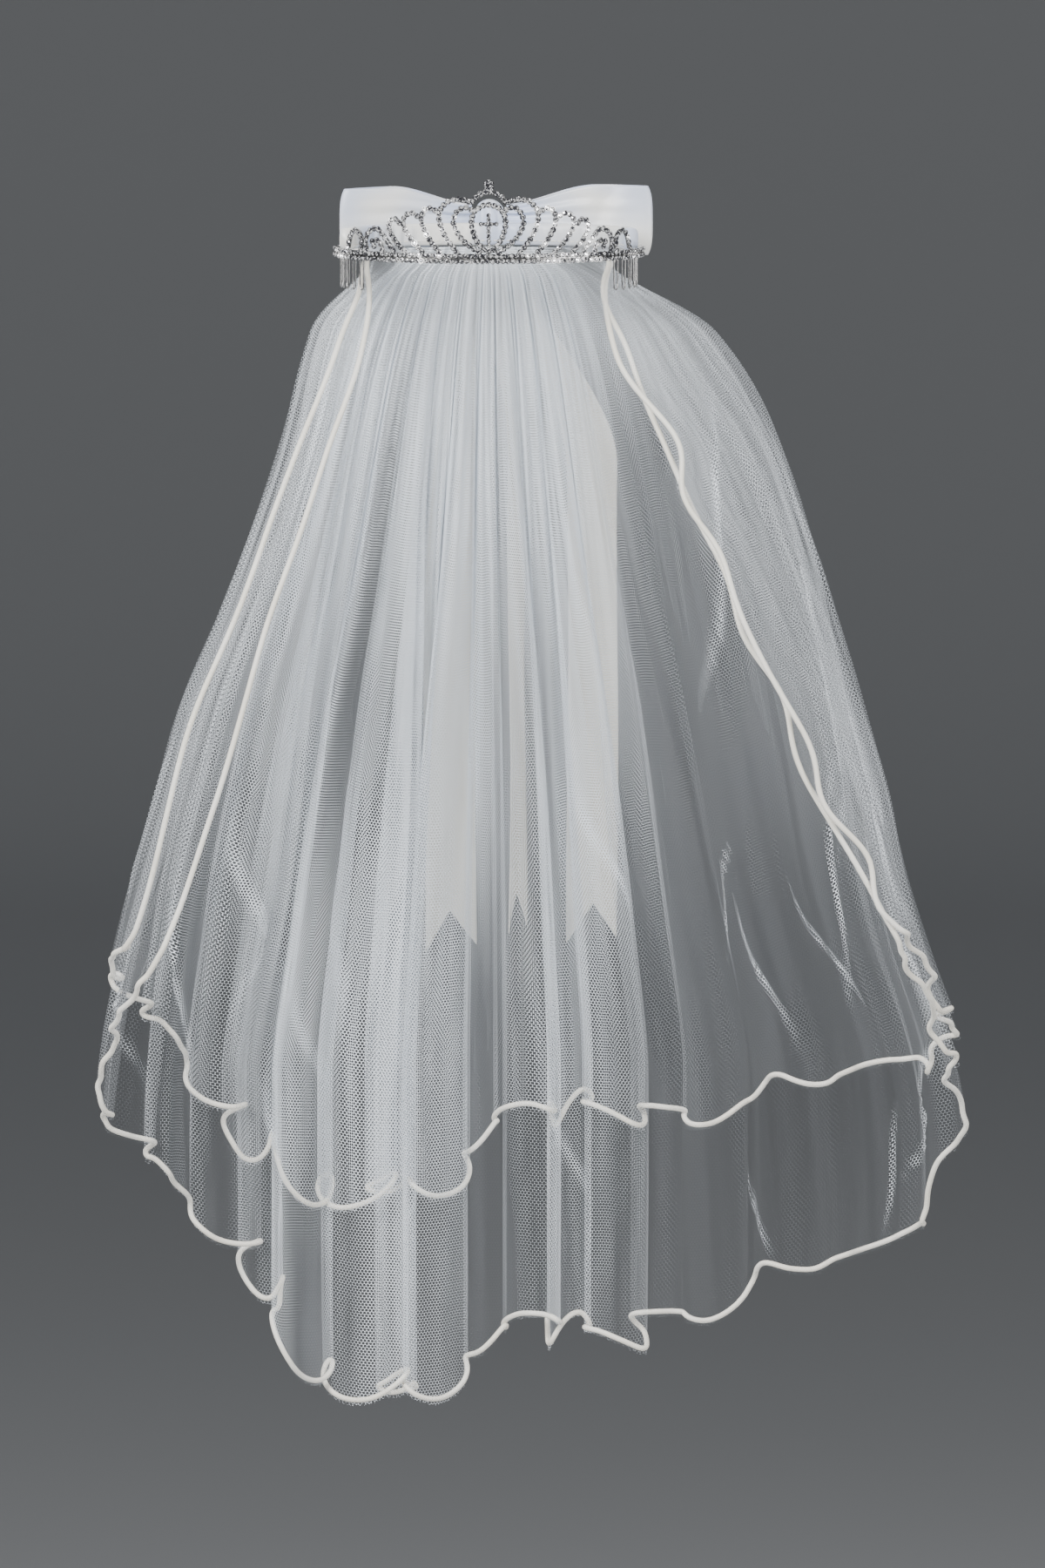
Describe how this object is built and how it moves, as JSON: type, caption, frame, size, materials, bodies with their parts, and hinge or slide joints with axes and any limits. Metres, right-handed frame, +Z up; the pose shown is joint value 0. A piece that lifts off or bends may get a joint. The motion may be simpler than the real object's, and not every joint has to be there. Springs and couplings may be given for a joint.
{
  "type": "bridal veil with tiara",
  "caption": "Hanging net bridal veil in a short and a long layer with corded edges, a satin bow with tails and a wire tiara with side combs.",
  "frame": {"origin": "middle of the head opening, at mid height of the tiara band", "axes": "+Z up, -Y to the front where the tiara is, +X to the viewer's right as seen from the front"},
  "size_m": [0.4371, 0.2421, 0.6304],
  "materials": {
    "net": "sheer hexagonal tulle net",
    "edge_cord": "ivory satin cord",
    "satin": "white satin ribbon",
    "silver": "silver-plated wire set with stones"
  },
  "bodies": {
    "root": {"long_layer": "net", "short_layer": "net", "long_layer_cord": "edge_cord", "short_layer_cord": "edge_cord", "header_ribbon": "satin", "bow_knot": "satin", "bow_loop_left": "satin", "bow_loop_right": "satin", "bow_tail_left": "satin", "bow_tail_middle": "satin", "bow_tail_right": "satin", "tiara_band": "silver", "side_comb_left": "silver", "side_comb_right": "silver", "tiara_heart_left": "silver", "tiara_heart_right": "silver", "tiara_tall_left": "silver", "tiara_tall_right": "silver", "tiara_second_left": "silver", "tiara_second_right": "silver", "tiara_third_left": "silver", "tiara_third_right": "silver", "tiara_fourth_left": "silver", "tiara_fourth_right": "silver", "tiara_side_left": "silver", "tiara_side_right": "silver", "tiara_curl_left": "silver", "tiara_curl_right": "silver", "tiara_end_left": "silver", "tiara_end_right": "silver", "tiara_egg": "silver", "tiara_cross": "silver", "tiara_crown_arch": "silver", "tiara_crown_tip": "silver"}
  },
  "joints": []
}
